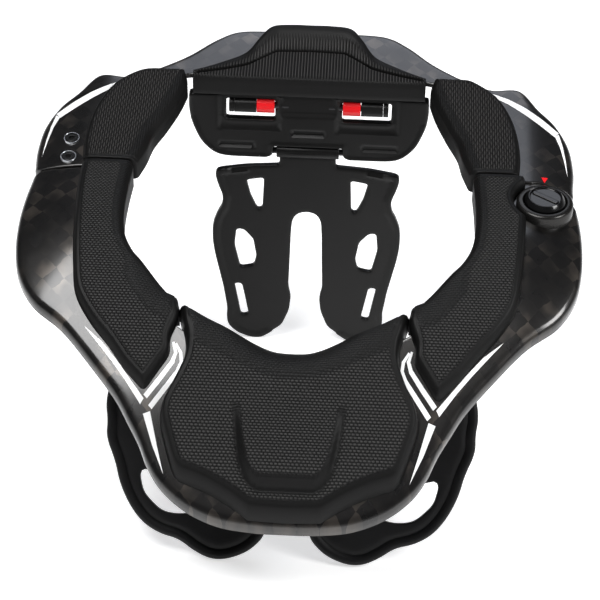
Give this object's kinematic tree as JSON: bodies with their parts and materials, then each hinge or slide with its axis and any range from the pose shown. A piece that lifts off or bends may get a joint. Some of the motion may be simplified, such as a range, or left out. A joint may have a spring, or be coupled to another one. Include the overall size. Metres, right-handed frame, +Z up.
{
  "type": "motocross neck brace",
  "caption": "Rigid ring worn round the neck, in two shell halves with foam pads, chest pads in front and a hinged two-legged strut behind.",
  "frame": {"origin": "centre of the bounding box at floor level, standing on the strut feet and the chest pads", "axes": "+X to the knob side, across the shoulders; +Y to the rear; +Z up"},
  "size_m": [0.312, 0.2888, 0.2207],
  "materials": {
    "shell": "glossy carbon weave",
    "foam": "matt moulded foam",
    "chest": "matt moulded foam",
    "plastic": "satin",
    "red": "gloss",
    "steel": "dark"
  },
  "bodies": {
    "rear": {"rear_frame": "shell", "rear_pad_left": "foam", "rear_pad_right": "foam", "rear_pad_middle": "foam", "latch_tongue": "plastic", "latch_screw_1": "steel", "latch_screw_2": "steel", "plate_bracket_left": "plastic", "plate_bracket_right": "plastic"},
    "front": {"front_frame": "shell", "front_pad_left": "foam", "front_pad_right": "foam", "front_pad_middle": "foam", "chest_bracket": "plastic", "chest_pad_left": "chest", "chest_pad_right": "chest"},
    "knob": {"release_knob": "plastic"},
    "plate": {"upper_plate": "plastic", "plate_pin_left": "steel", "plate_pin_right": "steel", "red_sleeve_left": "red", "red_sleeve_right": "red", "strut_pin": "steel"},
    "strut": {"strut": "plastic"}
  },
  "joints": [
    {"name": "main_hinge", "type": "hinge", "parent": "rear", "child": "front", "pos_m": [0.135, 0.005, 0.17085], "axis": [0, -0.1639, 0.9865], "range_deg": [0, 55]},
    {"name": "knob_turn", "type": "hinge", "parent": "front", "child": "knob", "pos_m": [0.135, 0.005, 0.17085], "axis": [0, -0.1639, 0.9865], "range_deg": [0, 90]},
    {"name": "plate_tilt", "type": "hinge", "parent": "rear", "child": "plate", "pos_m": [0, 0.10129, 0.18046], "axis": [-1, 0, 0], "range_deg": [0, 25]},
    {"name": "strut_fold", "type": "hinge", "parent": "plate", "child": "strut", "pos_m": [0, 0.10668, 0.148], "axis": [-1, 0, 0], "range_deg": [0, 80]}
  ]
}
